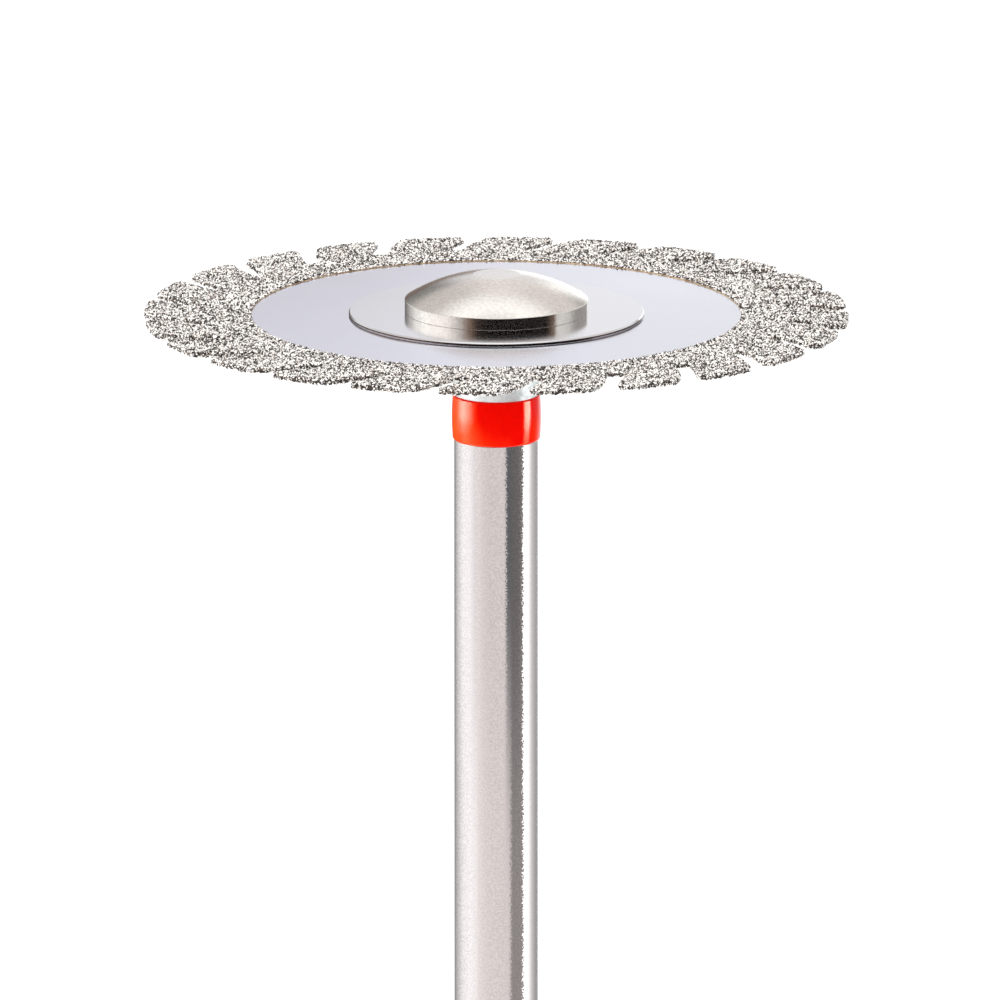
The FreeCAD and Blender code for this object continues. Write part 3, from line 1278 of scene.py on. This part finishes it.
# %% [markdown]
# ## A reflector for the colour ring
# Enamel mirrors only a few percent of the light, so its highlights need strips many times
# stronger than the tent, which would burn out in the metal. So a second wall, which light
# passes through, stands just inside the first, and light linking shows it to the ring alone.
# Its strips are white for the ring's upper part and turn orange towards the ring's foot.

# %% Light of the ring's reflector
REFLECTOR_INSET = 0.2

RING_BACK_LEFT = [
    (-180, 0.8, WHITE),
    (-156, 0.6, AMBER),
]
RING_BACK_RIGHT = [
    (98, 1.0, AMBER),
    (120, 1.0, AMBER),
    (150, 1.2, WHITE),
    (180, 0.8, WHITE),
]
RING_TOP_LEVEL = [
    (-180, 0.8, WHITE),
    (-156, 0.6, ORANGE),
    (-132, 2.2, ORANGE),
    (-120, 5.0, ORANGE),
    (-108, 12.0, PEACH),
    (-96, 20.0, WHITE),
    (-84, 21.0, WHITE),
    (-72, 14.0, WHITE),
    (-60, 6.0, ORANGE),
    (-48, 0.03, BROWN),
    (76, 0.03, BROWN),
    (79, 26.0, WHITE),
    (95, 26.0, WHITE),
    (100, 0.4, WHITE),
    (130, 0.4, WHITE),
    (150, 1.2, WHITE),
    (180, 0.8, WHITE),
]
RING_MIDDLE_LEVEL = [
    *RING_BACK_LEFT,
    (-129, 3.0, AMBER),
    (-109, 6.5, APRICOT),
    (-96, 13.0, PEACH),
    (-84, 14.0, PEACH),
    (-72, 12.0, APRICOT),
    (-60, 8.0, AMBER),
    (-40, 0.5, AMBER),
    (-30, 0.03, BROWN),
    (76, 0.03, BROWN),
    (79, 21.0, WHITE),
    (92, 21.0, WHITE),
    *RING_BACK_RIGHT,
]
RING_LOW_LEVEL = [
    *RING_BACK_LEFT,
    (-129, 2.6, AMBER),
    (-109, 5.0, AMBER),
    (-85, 12.0, APRICOT),
    (-60, 9.0, ORANGE),
    (-32, 2.5, AMBER),
    (-5, 0.1, BROWN),
    (20, 0.03, BROWN),
    (76, 0.03, BROWN),
    (79, 8.0, PEACH),
    (92, 8.0, PEACH),
    *RING_BACK_RIGHT,
]
RING_FOOT_LEVEL = [
    *RING_BACK_LEFT,
    (-129, 3.0, AMBER),
    (-109, 6.0, ORANGE),
    (-85, 15.0, ORANGE),
    (-60, 11.0, ORANGE),
    (-32, 5.0, AMBER),
    (0, 2.2, ORANGE),
    (30, 2.2, ORANGE),
    (50, 0.05, BROWN),
    (76, 0.05, BROWN),
    (79, 10.0, APRICOT),
    (92, 10.0, APRICOT),
    *RING_BACK_RIGHT,
]
RING_LEVELS = [
    ((0, 0), RING_FOOT_LEVEL),
    ((9, 14), RING_LOW_LEVEL),
    ((15, 19), RING_MIDDLE_LEVEL),
    ((20, 24), RING_TOP_LEVEL),
]
ring_reflector = tent_walls("ring_reflector", REFLECTOR_INSET, RING_LEVELS, see_through=True)
light_only(ring_reflector, "the_ring", "INCLUDE")

# %% [markdown]
# ## Roof, lamps and world
# The outer part of the head's dome mirrors the tent's roof. Two soft lamps and a white world
# give the plain, even light that colours are judged by. The world is pure white where it is
# seen and a little weaker as light.

# %% Roof
ROOF_STEPS = 64
# Share of the way from the middle to the wall, and brightness there.
ROOF_LIGHT = [(0.0, 0.9), (0.33, 1.05), (0.42, 1.42), (0.62, 1.4), (0.72, 1.2), (1.0, 1.0)]


def roof_colour(tree):
    """Brightness of the roof by its distance from the axis."""
    place = add_node(tree, "ShaderNodeTexCoord").outputs["Object"]
    reach = add_node(tree, "ShaderNodeVectorMath", {0: place}, operation="LENGTH")
    share = add_node(tree, "ShaderNodeMapRange", {
        "Value": reach.outputs["Value"],
        "From Max": TENT_RADIUS * MM,
    })
    stops = [(way, (level, level, level, 1.0)) for way, level in ROOF_LIGHT]
    return add_node(tree, "ShaderNodeValToRGB", {"Fac": share.outputs[0]}, stops).outputs[0]


roof_corners = [TENT_RADIUS * unit(2 * math.pi * s / ROOF_STEPS) for s in range(ROOF_STEPS)]
roof = make_object(
    "tent_roof",
    [(p.real, p.imag, 0.0) for p in roof_corners],
    [list(range(ROOF_STEPS))[::-1]],
    emitting("tent_cloth", roof_colour),
)
roof.location.z = TENT_HEIGHT * MM
hide_from_camera(roof)

# %% Lamps
def softbox(name, place, size, power):
    """A square area lamp, in millimetres, aimed at the disc."""
    lamp = bpy.data.lights.new(name, "AREA")
    lamp.shape = "SQUARE"
    lamp.size = size * MM
    lamp.energy = power
    holder = bpy.data.objects.new(name, lamp)
    holder.location = Vector(place) * MM
    aim = Vector((0, 0, coat_top * MM)) - holder.location
    holder.rotation_euler = aim.to_track_quat("-Z", "Y").to_euler()
    holder.visible_glossy = False
    bpy.context.scene.collection.objects.link(holder)
    print(f"{name}: {power} watts, {aim.length / MM:.0f} mm away")


softbox("softbox_left", place=(-420, -180, 380), size=300, power=3.2)
softbox("softbox_right", place=(380, -220, 260), size=200, power=0.8)

# %% World
WORLD_LIGHT = 0.72

world = bpy.data.worlds.new("studio")
bpy.context.scene.world = world
world.use_nodes = True
tree = world.node_tree
tree.nodes.clear()
path = add_node(tree, "ShaderNodeLightPath")
seen = add_node(tree, "ShaderNodeMath", {
    0: path.outputs["Is Camera Ray"],
    1: path.outputs["Is Glossy Ray"],
}, operation="MAXIMUM")
seen = add_node(tree, "ShaderNodeMath", {
    0: seen.outputs[0],
    1: path.outputs["Is Transmission Ray"],
}, operation="MAXIMUM")
strength = add_node(tree, "ShaderNodeMapRange", {
    "Value": seen.outputs[0],
    "To Min": WORLD_LIGHT,
    "To Max": 1.0,
})
sky = add_node(tree, "ShaderNodeBackground", {
    "Color": linear(WHITE),
    "Strength": strength.outputs[0],
})
add_node(tree, "ShaderNodeOutputWorld", {"Surface": sky.outputs[0]})
print("world:", world.name)

# %% [markdown]
# ## Camera
# The photograph was taken from far away with a long lens, looking down by 13 degrees, so the
# disc is a flat ellipse and hardly grows towards the front.

# %% Camera
LENS = 907.2
SENSOR_WIDTH = 36
LOOK_DOWN = 13.05
CAMERA_PLACE = (0.10, -683.08, 196.39)

camera_data = bpy.data.cameras.new("camera")
camera_data.lens = LENS
camera_data.sensor_width = SENSOR_WIDTH
camera = bpy.data.objects.new("camera", camera_data)
bpy.context.scene.collection.objects.link(camera)
camera.location = [way * MM for way in CAMERA_PLACE]
camera.rotation_euler = (math.radians(90 - LOOK_DOWN), 0, 0)
bpy.context.scene.camera = camera
bpy.context.scene.view_settings.view_transform = "Standard"
print(f"camera: {camera.location.length:.3f} m from the origin, {LENS} mm lens")
